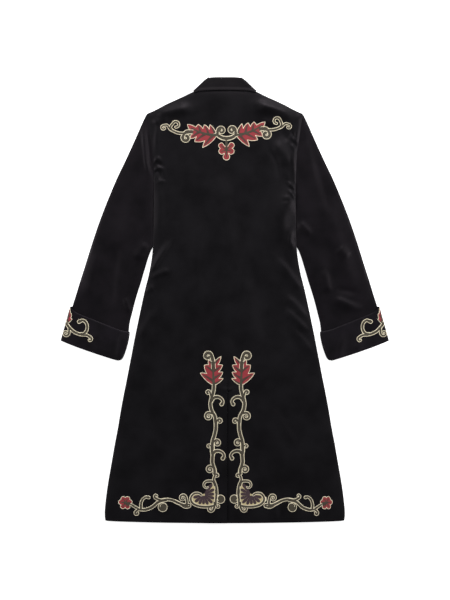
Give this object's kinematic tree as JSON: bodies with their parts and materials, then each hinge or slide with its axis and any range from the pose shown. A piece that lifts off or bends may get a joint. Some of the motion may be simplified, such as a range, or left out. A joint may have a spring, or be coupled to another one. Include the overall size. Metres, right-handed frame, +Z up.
{
  "type": "coat",
  "caption": "Long velvet coat laid flat with its back up: turned-down collar, set-in sleeves with deep turned-back cuffs, back vent, scroll embroidery",
  "frame": {"origin": "middle of the coat's box in plan, on the surface that it lies on", "axes": "+Z up, out of the back of the coat; +Y from the hem to the collar; +X towards the wearer's right sleeve"},
  "size_m": [0.87, 1.1821, 0.0108],
  "materials": {
    "back_velvet": "black velvet pile with sheen, cream corded scroll embroidery",
    "front_velvet": "plain black velvet pile with sheen",
    "sleeve_velvet": "plain black velvet pile with sheen",
    "cuff_velvet": "black velvet pile with sheen, scroll embroidery at its outer edge",
    "collar_velvet": "plain black velvet pile with sheen"
  },
  "bodies": {
    "root": {"back_left": "back_velvet", "back_right": "back_velvet", "front_left": "front_velvet", "front_right": "front_velvet", "sleeve_left": "sleeve_velvet", "sleeve_right": "sleeve_velvet", "cuff_left": "cuff_velvet", "cuff_right": "cuff_velvet", "collar": "collar_velvet"}
  },
  "joints": []
}
